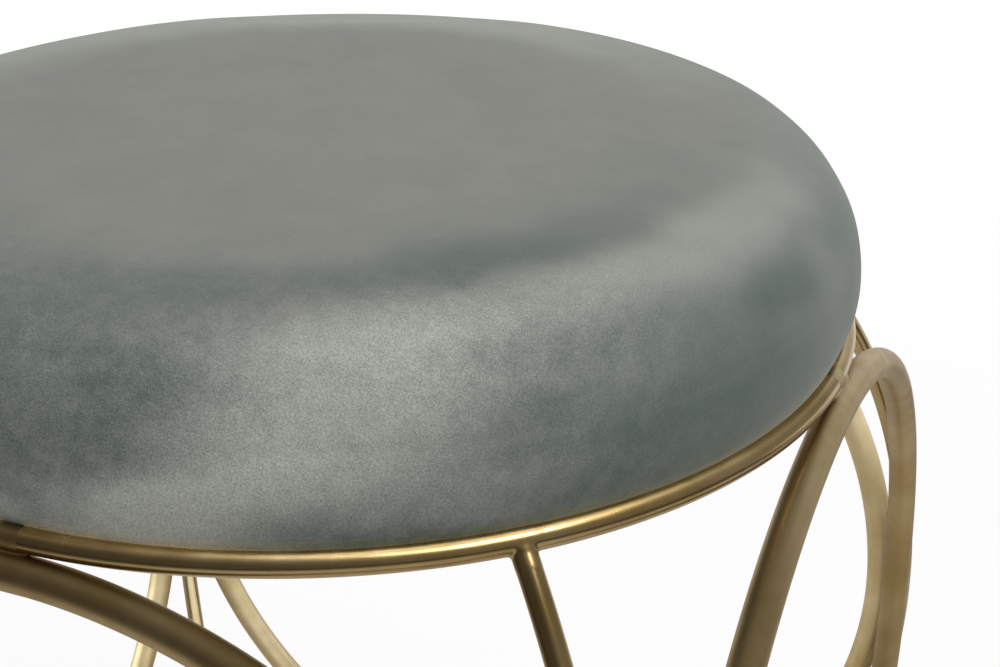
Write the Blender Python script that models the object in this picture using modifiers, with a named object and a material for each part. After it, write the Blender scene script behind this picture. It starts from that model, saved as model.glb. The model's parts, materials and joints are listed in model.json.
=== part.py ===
"""Round stool: a domed velvet seat on a welded cage of rings.

The frame has a seat ring, a base ring, four standing hoops at 90 degrees and four bowed rods
in the diagonal planes. Metres, +Z up, floor at zero, front of the stool towards -Y.
"""

import math

import bpy

# Clearances
GAP = 0.0003
HOLE_CLEARANCE = 0.0003
CUT_MARGIN = 0.001
MERGE_DISTANCE = 0.00001

# Rings and rods
RING_RADIUS = 0.195
ROD_RADIUS = 0.004
RING_STEPS = 72
TUBE_SIDES = 8

# Standing hoops: their planes stand a little outside the rings' centre line
HOOP_OUTSET = 0.0033
HOOP_TUBE_RADIUS = 0.006
HOOP_STEPS = 56

# Bowed corner rods: their centre lines run on to a point just inside the rings' centre line
ROD_AIM_INSET = 0.001
ROD_STEPS = 22
ROD_ROUNDNESS = 2

# Foot glides under the base ring
GLIDE_RADIUS = 0.0075
GLIDE_PAD = 0.0025
FASTENER_SIDES = 16

# Tabs inside the seat ring
TAB_THICKNESS = 0.003
TAB_WIDTH = 0.020
TAB_TOP = 0.0029
TAB_END_SETBACK = 0.0048
TAB_ROUND_STEPS = 8
SCREW_TO_HEM = 0.008
SCREW_RADIUS = 0.0025
SCREW_LENGTH = 0.016
SCREW_CHAMFER = 0.0005
SCREW_HEAD_RADIUS = 0.0046
SCREW_HEAD_HEIGHT = 0.003
SCREW_SOCKET_RADIUS = 0.0017
SCREW_SOCKET_DEPTH = 0.0016
SCREW_SOCKET_SIDES = 6
WASHER_RADIUS = 0.006
WASHER_THICKNESS = 0.001

# Seat
DUST_COVER_SETBACK = 0.009
DUST_COVER_THICKNESS = 0.0008
COVER_THICKNESS = 0.0012
BOARD_SETBACK = 0.010
BOARD_THICKNESS = 0.012
HEM_WIDTH = 0.017
T_NUT_FLANGE_RADIUS = 0.009
T_NUT_FLANGE_THICKNESS = 0.0012
T_NUT_BARREL_WALL = 0.0006
T_NUT_BARREL_LENGTH = 0.008
SEAT_STEPS = 48

# Cushion section, from the crown over the shoulder down to the drawn-in edge on the ring.
# Each point is a share of the cushion's radius and a height above the centre of the seat ring.
CUSHION_OVERHANG = 0.0036
CUSHION_SECTION = [
    (0.000, 0.0728),
    (0.252, 0.0722),
    (0.504, 0.0705),
    (0.705, 0.0679),
    (0.826, 0.0650),
    (0.890, 0.0612),
    (0.939, 0.0545),
    (0.973, 0.0450),
    (0.993, 0.0340),
    (1.000, 0.0215),
    (0.991, 0.0100),
    (0.980, 0.0046),
]

# Derived positions
HOOP_PLANE = RING_RADIUS + HOOP_OUTSET
HOOP_RADIUS = HOOP_PLANE - (2 * HOOP_TUBE_RADIUS + GAP) / math.sqrt(2)
HOOP_DROP = math.sqrt((HOOP_TUBE_RADIUS + ROD_RADIUS + GAP) ** 2 - HOOP_OUTSET**2)
BASE_RING_Z = GLIDE_PAD + GAP + ROD_RADIUS
SEAT_RING_Z = BASE_RING_Z + 2 * (HOOP_DROP + HOOP_RADIUS)
MIDDLE_Z = (BASE_RING_Z + SEAT_RING_Z) / 2
HOOP_SIDE_RADIUS = (HOOP_RADIUS + HOOP_PLANE) / math.sqrt(2)
HOOP_HALF_SPACING = (HOOP_PLANE - HOOP_RADIUS) / math.sqrt(2)
ROD_MIDDLE_RADIUS = HOOP_SIDE_RADIUS + math.sqrt(
    (HOOP_TUBE_RADIUS + ROD_RADIUS + GAP) ** 2 - HOOP_HALF_SPACING**2
)
CUSHION_RADIUS = RING_RADIUS + CUSHION_OVERHANG
BOARD_RADIUS = RING_RADIUS - BOARD_SETBACK
DUST_COVER_RADIUS = RING_RADIUS - DUST_COVER_SETBACK
HEM_INNER_RADIUS = BOARD_RADIUS - HEM_WIDTH
SCREW_CIRCLE = HEM_INNER_RADIUS - SCREW_TO_HEM
SCREW_HOLE_RADIUS = SCREW_RADIUS + HOLE_CLEARANCE
T_NUT_BARREL_RADIUS = SCREW_HOLE_RADIUS + T_NUT_BARREL_WALL
TAB_LOW = SEAT_RING_Z + TAB_TOP - TAB_THICKNESS
DUST_COVER_Z = SEAT_RING_Z + TAB_TOP + GAP
HEM_Z = DUST_COVER_Z + DUST_COVER_THICKNESS + GAP
BOARD_Z = HEM_Z + COVER_THICKNESS + GAP
BOARD_TOP = BOARD_Z + BOARD_THICKNESS
WASHER_TOP = TAB_LOW - GAP
SCREW_HEAD_TOP = WASHER_TOP - WASHER_THICKNESS - GAP

SIDES = {"front": -90, "right": 0, "back": 90, "left": 180}
CORNERS = {"front_right": -45, "back_right": 45, "back_left": 135, "front_left": 225}

for old in list(bpy.data.objects):
    bpy.data.objects.remove(old, do_unlink=True)

stool = bpy.data.collections.new("round_stool")
bpy.context.scene.collection.children.link(stool)
cutters = bpy.data.collections.new("cutters")
bpy.context.scene.collection.children.link(cutters)


def material(name, colour, metallic, roughness):
    made = bpy.data.materials.new(name)
    made.use_nodes = True
    shader = made.node_tree.nodes["Principled BSDF"]
    shader.inputs["Base Color"].default_value = (*colour, 1.0)
    shader.inputs["Metallic"].default_value = metallic
    shader.inputs["Roughness"].default_value = roughness
    return made


def spot(radius, degrees):
    angle = math.radians(degrees)
    return radius * math.cos(angle), radius * math.sin(angle)


def keep(made, name, look):
    """Name an object and put it in the stool's collection, or with the cutters if it has no
    material."""
    made.name = name
    for holder in list(made.users_collection):
        holder.objects.unlink(made)
    if look is None:
        made.hide_render = True
        made.display_type = "WIRE"
        cutters.objects.link(made)
    else:
        made.data.materials.append(look)
        stool.objects.link(made)
    return made


def torus(name, radius, tube_radius, steps, location, rotation, look):
    bpy.ops.mesh.primitive_torus_add(
        major_segments=steps,
        minor_segments=TUBE_SIDES,
        major_radius=radius,
        minor_radius=tube_radius,
        location=location,
        rotation=rotation,
    )
    return keep(bpy.context.object, name, look)


def cylinder(name, radius, low, high, sides, place, look):
    x, y = place
    bpy.ops.mesh.primitive_cylinder_add(
        vertices=sides, radius=radius, depth=high - low, location=(x, y, (low + high) / 2)
    )
    return keep(bpy.context.object, name, look)


def turned(name, section, steps, place, look, closed=False):
    """A section of (radius, height) points at +X, outer side from top to bottom, turned about
    Z. A closed section makes a ring; an open one starts and ends on the axis or at an edge."""
    count = len(section)
    edges = [(i, i + 1) for i in range(count - 1)]
    if closed:
        edges.append((count - 1, 0))
    mesh = bpy.data.meshes.new(name)
    mesh.from_pydata([(radius, 0, height) for radius, height in section], edges, [])
    made = bpy.data.objects.new(name, mesh)
    made.location = (*place, 0)
    screw = made.modifiers.new("turn", "SCREW")
    screw.steps = steps
    screw.render_steps = steps
    screw.use_merge_vertices = True
    screw.merge_threshold = MERGE_DISTANCE
    return keep(made, name, look)


def flat(name, outlines, low, thickness, turn, look):
    """A flat sheet: the first outline is its edge and the others are holes."""
    curve = bpy.data.curves.new(name, "CURVE")
    curve.dimensions = "2D"
    curve.fill_mode = "BOTH"
    curve.extrude = thickness / 2
    for outline in outlines:
        spline = curve.splines.new("POLY")
        spline.points.add(len(outline) - 1)
        spline.use_cyclic_u = True
        for point, (x, y) in zip(spline.points, outline):
            point.co = (x, y, 0, 1)
    made = bpy.data.objects.new(name, curve)
    made.location = (0, 0, low + thickness / 2)
    made.rotation_euler = (0, 0, math.radians(turn))
    return keep(made, name, look)


def circle(radius, steps, place=(0, 0)):
    spots = [spot(radius, 360 * i / steps) for i in range(steps)]
    return [(place[0] + x, place[1] + y) for x, y in spots]


def cut(target, cutter):
    boolean = target.modifiers.new(cutter.name, "BOOLEAN")
    boolean.operation = "DIFFERENCE"
    boolean.solver = "EXACT"
    boolean.object = cutter


velvet = material("velvet", (0.10, 0.12, 0.11), 0.0, 0.9)
gold = material("satin_gold", (0.45, 0.32, 0.15), 1.0, 0.35)
foam = material("foam", (0.80, 0.76, 0.62), 0.0, 0.9)
plywood = material("plywood", (0.55, 0.38, 0.22), 0.0, 0.7)
lining = material("lining", (0.02, 0.02, 0.02), 0.0, 0.95)
zinc = material("zinc_steel", (0.55, 0.55, 0.53), 1.0, 0.35)
black_plastic = material("black_plastic", (0.02, 0.02, 0.02), 0.0, 0.5)


# Seat ring and base ring: two equal rings of round rod, one above the other.
torus("seat_ring", RING_RADIUS, ROD_RADIUS, RING_STEPS, (0, 0, SEAT_RING_Z), (0, 0, 0), gold)
torus("base_ring", RING_RADIUS, ROD_RADIUS, RING_STEPS, (0, 0, BASE_RING_Z), (0, 0, 0), gold)


# Standing hoops: each stands upright, under the seat ring and over the base ring, and touches
# the hoops beside it at mid-height.
for side, degrees in SIDES.items():
    upright = (math.radians(90), 0, math.radians(degrees + 90))
    centre = (*spot(HOOP_PLANE, degrees), MIDDLE_Z)
    torus(f"{side}_hoop", HOOP_RADIUS, HOOP_TUBE_RADIUS, HOOP_STEPS, centre, upright, gold)


# Corner rods: each is one arc of a circle in a diagonal plane. It lies in the groove outside
# two touching hoops and its cut ends meet the outer sides of the seat ring and the base ring.
half_height = (SEAT_RING_Z - BASE_RING_Z) / 2
bow = ROD_MIDDLE_RADIUS - RING_RADIUS + ROD_AIM_INSET
bow_radius = (half_height**2 + bow**2) / (2 * bow)
aim_angle = math.asin(half_height / bow_radius)
setback = ROD_RADIUS + GAP + ROD_AIM_INSET * math.sin(aim_angle)
end_angle = aim_angle - setback / bow_radius
bent_rod = bpy.data.curves.new("bent_rod", "CURVE")
bent_rod.dimensions = "3D"
bent_rod.bevel_depth = ROD_RADIUS
bent_rod.bevel_resolution = ROD_ROUNDNESS
bent_rod.use_fill_caps = True
bent_rod.materials.append(gold)
spline = bent_rod.splines.new("POLY")
spline.points.add(ROD_STEPS)
for i, point in enumerate(spline.points):
    angle = end_angle * (1 - 2 * i / ROD_STEPS)
    reach = ROD_MIDDLE_RADIUS - bow_radius * (1 - math.cos(angle))
    point.co = (reach, 0, bow_radius * math.sin(angle), 1)
for corner, degrees in CORNERS.items():
    rod = bpy.data.objects.new(f"{corner}_rod", bent_rod)
    rod.location = (0, 0, MIDDLE_Z)
    rod.rotation_euler = (0, 0, math.radians(degrees))
    stool.objects.link(rod)


# Foot glides: moulded pads under the base ring below each hoop, with a groove for the ring.
groove_radius = ROD_RADIUS + GAP
groove = torus(
    "base_ring_groove", RING_RADIUS, groove_radius, RING_STEPS, (0, 0, BASE_RING_Z), (0, 0, 0), None
)
for side, degrees in SIDES.items():
    place = spot(RING_RADIUS, degrees)
    pad = cylinder(f"{side}_glide", GLIDE_RADIUS, 0, BASE_RING_Z, FASTENER_SIDES, place, black_plastic)
    cut(pad, groove)


# Tabs: flat steel tongues welded inside the seat ring, each with a screw hole in a round end.
tab_half = TAB_WIDTH / 2
tab_outer = RING_RADIUS - TAB_END_SETBACK
tab_outline = [(tab_outer, -tab_half), (tab_outer, tab_half)]
for i in range(TAB_ROUND_STEPS + 1):
    x, y = spot(tab_half, 90 + 180 * i / TAB_ROUND_STEPS)
    tab_outline.append((SCREW_CIRCLE + x, y))
tab_hole = circle(SCREW_HOLE_RADIUS, FASTENER_SIDES, (SCREW_CIRCLE, 0))
for side, degrees in SIDES.items():
    flat(f"{side}_tab", [tab_outline, tab_hole], TAB_LOW, TAB_THICKNESS, degrees, gold)


# Washers and button screws that hold the seat down on the tabs.
washer_section = [
    (SCREW_HOLE_RADIUS, WASHER_TOP),
    (WASHER_RADIUS, WASHER_TOP),
    (WASHER_RADIUS, WASHER_TOP - WASHER_THICKNESS),
    (SCREW_HOLE_RADIUS, WASHER_TOP - WASHER_THICKNESS),
]
head_low = SCREW_HEAD_TOP - SCREW_HEAD_HEIGHT
screw_tip = SCREW_HEAD_TOP + SCREW_LENGTH
screw_section = [
    (0, screw_tip),
    (SCREW_RADIUS - SCREW_CHAMFER, screw_tip),
    (SCREW_RADIUS, screw_tip - SCREW_CHAMFER),
    (SCREW_RADIUS, SCREW_HEAD_TOP),
    (SCREW_HEAD_RADIUS, SCREW_HEAD_TOP),
    (SCREW_HEAD_RADIUS, SCREW_HEAD_TOP - SCREW_HEAD_HEIGHT * 0.25),
    (SCREW_HEAD_RADIUS * 0.90, head_low + SCREW_HEAD_HEIGHT * 0.40),
    (SCREW_HEAD_RADIUS * 0.62, head_low),
    (0, head_low),
]
for side, degrees in SIDES.items():
    place = spot(SCREW_CIRCLE, degrees)
    turned(f"{side}_washer", washer_section, FASTENER_SIDES, place, zinc, closed=True)
    screw = turned(f"{side}_screw", screw_section, FASTENER_SIDES, place, zinc)
    socket_low = head_low - CUT_MARGIN
    socket_top = head_low + SCREW_SOCKET_DEPTH
    socket = cylinder(
        f"{side}_socket", SCREW_SOCKET_RADIUS, socket_low, socket_top, SCREW_SOCKET_SIDES, place, None
    )
    cut(screw, socket)


# Threaded inserts: a flange let into the top of the board and a barrel down the screw hole.
t_nut_section = [
    (SCREW_HOLE_RADIUS, BOARD_TOP),
    (T_NUT_FLANGE_RADIUS, BOARD_TOP),
    (T_NUT_FLANGE_RADIUS, BOARD_TOP - T_NUT_FLANGE_THICKNESS),
    (T_NUT_BARREL_RADIUS, BOARD_TOP - T_NUT_FLANGE_THICKNESS),
    (T_NUT_BARREL_RADIUS, BOARD_TOP - T_NUT_BARREL_LENGTH),
    (SCREW_HOLE_RADIUS, BOARD_TOP - T_NUT_BARREL_LENGTH),
]
for side, degrees in SIDES.items():
    place = spot(SCREW_CIRCLE, degrees)
    turned(f"{side}_t_nut", t_nut_section, FASTENER_SIDES, place, zinc, closed=True)


# Seat board: a plywood disc with a screw hole and a pocket for the insert at each tab.
board = cylinder("seat_board", BOARD_RADIUS, BOARD_Z, BOARD_TOP, SEAT_STEPS, (0, 0), plywood)
pocket_low = BOARD_TOP - T_NUT_FLANGE_THICKNESS - GAP
pocket_section = [
    (0, BOARD_TOP + CUT_MARGIN),
    (T_NUT_FLANGE_RADIUS + HOLE_CLEARANCE, BOARD_TOP + CUT_MARGIN),
    (T_NUT_FLANGE_RADIUS + HOLE_CLEARANCE, pocket_low),
    (T_NUT_BARREL_RADIUS + HOLE_CLEARANCE, pocket_low),
    (T_NUT_BARREL_RADIUS + HOLE_CLEARANCE, BOARD_Z - CUT_MARGIN),
    (0, BOARD_Z - CUT_MARGIN),
]
for side, degrees in SIDES.items():
    place = spot(SCREW_CIRCLE, degrees)
    cut(board, turned(f"{side}_pocket", pocket_section, FASTENER_SIDES, place, None))


# Dust cover: a thin cloth disc that closes the underside, with a hole at each screw.
dust_outlines = [circle(DUST_COVER_RADIUS, SEAT_STEPS)]
for degrees in SIDES.values():
    place = spot(SCREW_CIRCLE, degrees)
    dust_outlines.append(circle(SCREW_HOLE_RADIUS + HOLE_CLEARANCE, FASTENER_SIDES, place))
flat("dust_cover", dust_outlines, DUST_COVER_Z, DUST_COVER_THICKNESS, 0, lining)


# Seat cover: velvet pulled over the foam, turned in above the ring and under the board.
outside = [(share * CUSHION_RADIUS, SEAT_RING_Z + height) for share, height in CUSHION_SECTION]
cover_section = outside + [(HEM_INNER_RADIUS, HEM_Z)]
cover = turned("seat_cover", cover_section, SEAT_STEPS, (0, 0), velvet)
cloth = cover.modifiers.new("cloth", "SOLIDIFY")
cloth.thickness = COVER_THICKNESS
cloth.offset = -1
cloth.use_even_offset = True


def inset(section, depth):
    """Move an open section, top to bottom at +X, inward along the normal at each point."""
    moved = []
    for i, (radius, height) in enumerate(section):
        before = section[max(i - 1, 0)]
        after = section[min(i + 1, len(section) - 1)]
        run = after[0] - before[0]
        rise = after[1] - before[1]
        length = math.hypot(run, rise)
        moved.append((max(radius + depth * rise / length, 0), height - depth * run / length))
    return moved


# Foam pad: fills the cover and laps over the edge of the board.
foam_outside = inset(outside, COVER_THICKNESS + 2 * GAP)
foam_outside[0] = (0, foam_outside[0][1])
foam_outside[-1] = (foam_outside[-1][0], BOARD_Z)
foam_section = foam_outside + [
    (BOARD_RADIUS + GAP, BOARD_Z),
    (BOARD_RADIUS + GAP, BOARD_TOP + GAP),
    (0, BOARD_TOP + GAP),
]
turned("foam_pad", foam_section, SEAT_STEPS, (0, 0), foam)
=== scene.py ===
"""Looks of the round stool: a velvet seat on a welded cage of satin gold rings and rods."""

import json

import bpy
import numpy as np
from mathutils import Matrix, Vector

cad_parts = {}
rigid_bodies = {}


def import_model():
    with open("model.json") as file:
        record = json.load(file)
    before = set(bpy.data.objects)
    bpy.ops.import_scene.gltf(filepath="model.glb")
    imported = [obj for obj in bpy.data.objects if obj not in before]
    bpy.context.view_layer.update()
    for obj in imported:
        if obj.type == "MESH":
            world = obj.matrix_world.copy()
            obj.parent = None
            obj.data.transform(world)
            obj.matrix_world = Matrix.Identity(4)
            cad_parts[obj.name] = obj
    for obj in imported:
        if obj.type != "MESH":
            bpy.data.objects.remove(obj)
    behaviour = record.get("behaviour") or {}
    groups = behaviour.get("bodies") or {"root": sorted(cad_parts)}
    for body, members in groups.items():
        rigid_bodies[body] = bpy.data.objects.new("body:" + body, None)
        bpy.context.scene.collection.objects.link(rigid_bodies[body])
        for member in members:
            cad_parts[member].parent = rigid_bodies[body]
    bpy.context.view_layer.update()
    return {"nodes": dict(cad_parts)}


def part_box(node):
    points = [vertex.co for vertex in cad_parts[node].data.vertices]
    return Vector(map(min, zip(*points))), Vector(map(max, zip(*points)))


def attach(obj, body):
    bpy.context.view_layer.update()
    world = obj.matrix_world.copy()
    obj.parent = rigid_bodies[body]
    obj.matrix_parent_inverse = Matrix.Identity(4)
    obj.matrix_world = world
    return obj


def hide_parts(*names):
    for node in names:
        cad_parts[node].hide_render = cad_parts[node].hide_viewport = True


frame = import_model()


# Seat ring and base ring
# Two equal rings bent from 8 mm round steel rod, butt-welded, ground smooth and plated in a
# satin gold finish together with the rest of the cage.

RING_LOW, RING_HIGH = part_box("seat_ring")
BASE_LOW, BASE_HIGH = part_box("base_ring")
ROD_RADIUS = (RING_HIGH.z - RING_LOW.z) / 2
RING_RADIUS = RING_HIGH.x - ROD_RADIUS
SEAT_RING_Z = (RING_HIGH.z + RING_LOW.z) / 2
BASE_RING_Z = (BASE_HIGH.z + BASE_LOW.z) / 2
RING_LINES = 360
TUBE_SIDES = 28
UP = np.array([0.0, 0.0, 1.0])

GOLD = "#b8a074"
GOLD_WARM = "#a68c5c"
GOLD_SPECK = "#efe3c6"
# A cell of the pattern shows its speck where its random colour is brighter than this, which is
# about one cell in three hundred.
SPECK_PICK = 0.94


def to_linear(code):
    """The sRGB hex colour as linear red, green, blue and alpha."""
    parts = [int(code[i : i + 2], 16) / 255 for i in (1, 3, 5)]
    linear = [p / 12.92 if p <= 0.04045 else ((p + 0.055) / 1.055) ** 2.4 for p in parts]
    return (*linear, 1.0)


def feed(node, links):
    """Feeds the node's sockets, each from another socket or from a node's first output."""
    for socket, source in links.items():
        output = source.outputs[0] if hasattr(source, "outputs") else source
        node.id_data.links.new(output, node.inputs[socket])


def add(tree, kind, values=None, links=None, stops=(), **settings):
    """One new node: its settings, its socket values, what feeds its sockets and, on a colour
    ramp, its stops as pairs of a place and an sRGB hex colour."""
    made = tree.nodes.new(kind)
    for name, value in settings.items():
        setattr(made, name, value)
    for socket, value in (values or {}).items():
        made.inputs[socket].default_value = value
    feed(made, links or {})
    if stops:
        elements = made.color_ramp.elements
        while len(elements) < len(stops):
            elements.new(0.5)
        for element, (position, code) in zip(elements, stops):
            element.position = position
            element.color = to_linear(code)
    return made


def new_material(name):
    """A material with its node tree, its Principled shader and its Object coordinates."""
    made = bpy.data.materials.new(name)
    made.use_nodes = True
    tree = made.node_tree
    shader = tree.nodes["Principled BSDF"]
    place = add(tree, "ShaderNodeTexCoord").outputs["Object"]
    return made, tree, shader, place


def satin_gold_plate(name, smoothest, roughest):
    """Brass-coloured plating on ground steel under a clear lacquer: even metal with a soft haze
    between the two roughnesses, faint warm clouds a few centimetres long, and sparse specks of
    dust under the lacquer."""
    made, tree, shader, place = new_material(name)
    values = {"Scale": 28.0, "Detail": 3.0, "Roughness": 0.6}
    clouds = add(tree, "ShaderNodeTexNoise", values, {"Vector": place})
    stops = [(0.35, GOLD_WARM), (0.62, GOLD)]
    base = add(tree, "ShaderNodeValToRGB", links={"Fac": clouds}, stops=stops)
    specks = add(tree, "ShaderNodeTexVoronoi", {"Scale": 230.0}, {"Vector": place})
    values = {"From Min": 0.02, "From Max": 0.06, "To Min": 1.0, "To Max": 0.0}
    dot = add(tree, "ShaderNodeMapRange", values, {"Value": specks})
    links = {0: specks.outputs["Color"]}
    pick = add(tree, "ShaderNodeMath", {1: SPECK_PICK}, links, operation="GREATER_THAN")
    some = add(tree, "ShaderNodeMath", links={0: dot, 1: pick}, operation="MULTIPLY")
    values = {7: to_linear(GOLD_SPECK)}
    colour = add(tree, "ShaderNodeMix", values, {0: some, 6: base}, data_type="RGBA")
    values = {"Scale": 90.0, "Detail": 5.0, "Roughness": 0.7}
    haze = add(tree, "ShaderNodeTexNoise", values, {"Vector": place})
    values = {"From Min": 0.3, "From Max": 0.7, "To Min": smoothest, "To Max": roughest}
    rough = add(tree, "ShaderNodeMapRange", values, {"Value": haze})
    swells = add(tree, "ShaderNodeTexNoise", {"Scale": 120.0, "Detail": 2.0}, {"Vector": place})
    values = {"Strength": 0.02, "Distance": 0.001}
    waves = add(tree, "ShaderNodeBump", values, {"Height": swells})
    grain = add(tree, "ShaderNodeTexNoise", {"Scale": 1500.0, "Detail": 2.0}, {"Vector": place})
    values = {"Strength": 0.01, "Distance": 0.0002}
    scratches = add(tree, "ShaderNodeBump", values, {"Height": grain, "Normal": waves})
    feed(shader, {"Base Color": colour.outputs[2], "Roughness": rough, "Normal": scratches})
    shader.inputs["Metallic"].default_value = 1.0
    return made


# The rings and rods are polished brighter than the thicker tube and the welds on it.
BRIGHT_GOLD = satin_gold_plate("satin_gold_plate_on_rod", 0.22, 0.28)
SOFT_GOLD = satin_gold_plate("satin_gold_plate_on_tube", 0.42, 0.52)


def closed_surface(parts):
    """The points and faces of closed surfaces. Each part is a grid of points, lines by points
    round by 3, and how its lines end: "loop" joins the last line to the first, and "cap" closes
    each end with its middle point. A part whose faces point inward is turned round."""
    points, faces, start = [], [], 0
    for grid, ends in parts:
        lines, around = grid.shape[:2]
        spots = grid.reshape(-1, 3)
        number = start + np.arange(lines * around).reshape(lines, around)
        low, high = number[:-1], number[1:]
        if ends == "loop":
            low, high = number, np.roll(number, -1, 0)
        quads = np.stack([low, np.roll(low, -1, 1), np.roll(high, -1, 1), high], -1).reshape(-1, 4)
        corners = spots[quads - start]
        normals = np.cross(corners[:, 2] - corners[:, 0], corners[:, 3] - corners[:, 1])
        middle = grid.mean(1)[(quads[:, 0] - start) // around]
        if ends == "cap":
            middle = spots.mean(0)
        turn = -1 if (normals * (corners.mean(1) - middle)).sum() < 0 else 1
        faces += quads[:, ::turn].tolist()
        if ends == "cap":
            spots = np.vstack([spots, grid[0].mean(0), grid[-1].mean(0)])
            for rim, tip, way in ((number[0], 0, -turn), (number[-1], 1, turn)):
                centre = np.full(around, start + lines * around + tip)
                faces += np.stack([rim, np.roll(rim, -1), centre], -1)[:, ::way].tolist()
        points.append(spots)
        start += len(spots)
    return np.vstack(points), faces


def skin(name, points, faces, look, slot, stands_for=()):
    """One smooth object from points and faces, riding on the stool and, where it is the looks of
    a CAD node, in that node's place."""
    mesh = bpy.data.meshes.new(name)
    mesh.from_pydata(points.tolist(), [], faces)
    mesh.polygons.foreach_set("use_smooth", np.ones(len(mesh.polygons), bool))
    mesh.materials.append(look)
    made = bpy.data.objects.new(name, mesh)
    bpy.context.scene.collection.objects.link(made)
    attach(made, "root")
    if stands_for:
        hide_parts(*stands_for)
    return made


def turn_steps(count):
    """Equal angles once round, without the repeated last one."""
    return np.linspace(0, 2 * np.pi, count, endpoint=False)


def tube(path, across, radius, loop=True):
    """A round tube: at each point of a flat path, a circle of the radius, square to the path.
    across is the direction at right angles to the path's plane."""
    along = np.roll(path, -1, 0) - np.roll(path, 1, 0) if loop else np.gradient(path, axis=0)
    along /= np.linalg.norm(along, axis=1, keepdims=True)
    side = np.cross(along, across)
    angle = turn_steps(TUBE_SIDES)[None, :, None]
    reach = np.broadcast_to(np.asarray(radius, float), (len(path),))[:, None, None]
    return path[:, None] + reach * (np.cos(angle) * side[:, None] + np.sin(angle) * across)


def level_circle(angle, height):
    """The points at these angles on a level circle of the rings' radius."""
    level = [RING_RADIUS * np.cos(angle), RING_RADIUS * np.sin(angle)]
    return np.stack([*level, np.full(len(angle), height)], -1)


for node, height in (("seat_ring", SEAT_RING_Z), ("base_ring", BASE_RING_Z)):
    ring = tube(level_circle(turn_steps(RING_LINES), height), UP, ROD_RADIUS)
    skin(f"gold_{node}", *closed_surface([(ring, "loop")]), BRIGHT_GOLD, "satin_gold", [node])


# Standing hoops
# Four circles of 12 mm tube, standing at right angles to each other between the two rings. Each
# is welded to both rings and, at mid-height, to the hoops beside it.

SIDES = {"front": (0.0, -1.0), "right": (1.0, 0.0), "back": (0.0, 1.0), "left": (-1.0, 0.0)}
HOOP_LOW, HOOP_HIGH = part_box("back_hoop")
HOOP_TUBE_RADIUS = (HOOP_HIGH.y - HOOP_LOW.y) / 2
HOOP_PLANE = (HOOP_HIGH.y + HOOP_LOW.y) / 2
HOOP_RADIUS = (HOOP_HIGH.x - HOOP_LOW.x) / 2 - HOOP_TUBE_RADIUS
MIDDLE_Z = (HOOP_HIGH.z + HOOP_LOW.z) / 2


def standing_circle(out, angle):
    """The points at these angles on a hoop's circle, in the upright plane that faces out."""
    level = np.cross(UP, out)
    centre = out * HOOP_PLANE + UP * MIDDLE_Z
    return centre + HOOP_RADIUS * (np.cos(angle)[:, None] * level + np.sin(angle)[:, None] * UP)


for side, (x, y) in SIDES.items():
    out = np.array([x, y, 0.0])
    hoop = tube(standing_circle(out, turn_steps(RING_LINES)), out, HOOP_TUBE_RADIUS)
    form = closed_surface([(hoop, "loop")])
    skin(f"gold_{side}_hoop", *form, SOFT_GOLD, "satin_gold", [f"{side}_hoop"])


# Corner rods
# Four arcs of 8 mm rod, one at each corner. Each lies in the groove outside two touching hoops,
# and its ends run into the rings, where they are welded and ground. The welder has let the upper
# ends lean to one side by up to a degree.

CORNERS = {"front_right": (1, -1), "back_right": (1, 1), "back_left": (-1, 1), "front_left": (-1, -1)}
ROD_LEANS = {"front_right": -0.8, "back_right": 0.3, "back_left": -0.2, "front_left": 0.4}
GAP = 0.0003
ROD_AIM_INSET = 0.001
ROD_LINES = 160
GROOVE_HALF_WIDTH = (HOOP_PLANE - HOOP_RADIUS) / np.sqrt(2)
GROOVE_DEPTH = np.sqrt((HOOP_TUBE_RADIUS + ROD_RADIUS + GAP) ** 2 - GROOVE_HALF_WIDTH**2)
GROOVE_RADIUS = (HOOP_PLANE + HOOP_RADIUS) / np.sqrt(2)
ROD_MIDDLE_RADIUS = GROOVE_RADIUS + GROOVE_DEPTH
HALF_HEIGHT = (SEAT_RING_Z - BASE_RING_Z) / 2
BOW = ROD_MIDDLE_RADIUS - RING_RADIUS + ROD_AIM_INSET
BOW_RADIUS = (HALF_HEIGHT**2 + BOW**2) / (2 * BOW)
AIM_ANGLE = np.arcsin(HALF_HEIGHT / BOW_RADIUS)


def bowed_path(corner, angle):
    """The points at these angles, from level, on a corner rod: an arc of a circle in the corner's
    upright plane, whose upper end turns about the stool's axis by the fourth power of its rise."""
    x, y = CORNERS[corner]
    rise = np.clip(angle / AIM_ANGLE, 0, 1)
    swing = np.arctan2(y, x) + np.radians(ROD_LEANS[corner]) * rise**4
    reach = ROD_MIDDLE_RADIUS - BOW_RADIUS * (1 - np.cos(angle))
    height = MIDDLE_Z + BOW_RADIUS * np.sin(angle)
    return np.stack([reach * np.cos(swing), reach * np.sin(swing), height], -1)


for corner, (x, y) in CORNERS.items():
    level = np.array([-y, x, 0.0]) / np.sqrt(2)
    path = bowed_path(corner, np.linspace(AIM_ANGLE, -AIM_ANGLE, ROD_LINES))
    form = closed_surface([(tube(path, level, ROD_RADIUS, loop=False), "cap")])
    skin(f"gold_{corner}_rod", *form, BRIGHT_GOLD, "satin_gold", [f"{corner}_rod"])


# Welds
# The cage is welded wherever two members meet, and the welds are ground and plated over. They
# show as smooth fillets that run the two tubes together.

WELD_REACH = 0.013
WELD_GRAIN = 0.00045
WELD_SWELL = 0.00012
WELD_TUCK = 0.0005
WELD_SMOOTHING = 14
WELD_LINES = 40
# Each weld takes in a length of ring, given as a share of the reach along the other member.
HOOP_WELD_SHARE = 0.5
ROD_WELD_SHARE = 0.75
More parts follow.
